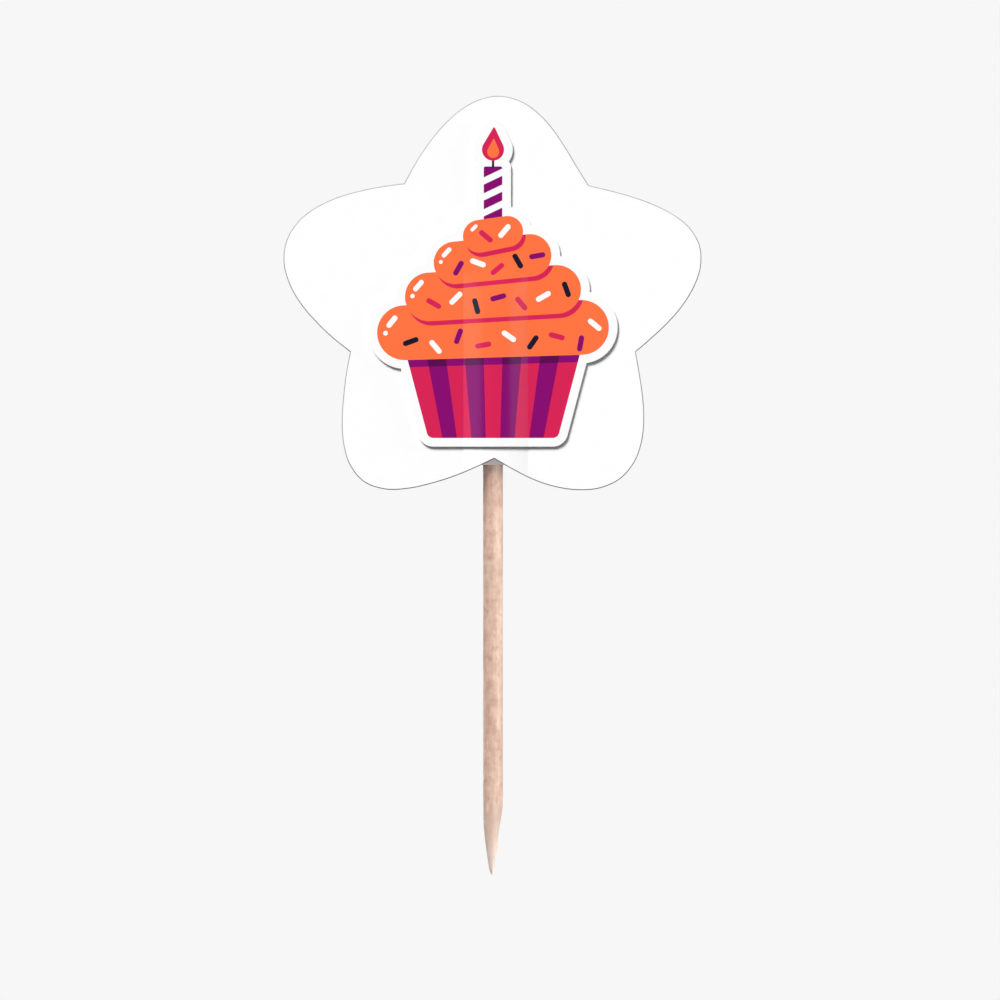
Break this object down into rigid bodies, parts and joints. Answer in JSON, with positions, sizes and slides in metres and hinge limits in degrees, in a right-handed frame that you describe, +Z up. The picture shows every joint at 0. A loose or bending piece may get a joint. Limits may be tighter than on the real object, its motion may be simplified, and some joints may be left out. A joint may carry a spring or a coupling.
{
  "type": "cupcake pick",
  "caption": "Star-shaped cupcake pick: a printed card star on a round pointed wooden pick that is pushed into the cake.",
  "frame": {"origin": "the sharp point of the pick, on the pick's axis", "axes": "+Z up along the pick from its point to the star, -Y out of the printed front of the star, +X to the right seen from the front"},
  "size_m": [0.0473, 0.0033, 0.0881],
  "materials": {
    "white_card": "satin",
    "white_label": "matte",
    "adhesive": "satin",
    "birch": "matte",
    "tape": "matte",
    "printed_paper": "satin"
  },
  "bodies": {
    "root": {"front_star_card": "white_card", "back_star_label": "white_label", "back_adhesive": "adhesive", "wooden_pick": "birch", "mounting_tape": "tape", "motif_adhesive": "adhesive", "motif_sticker": "printed_paper"}
  },
  "joints": []
}
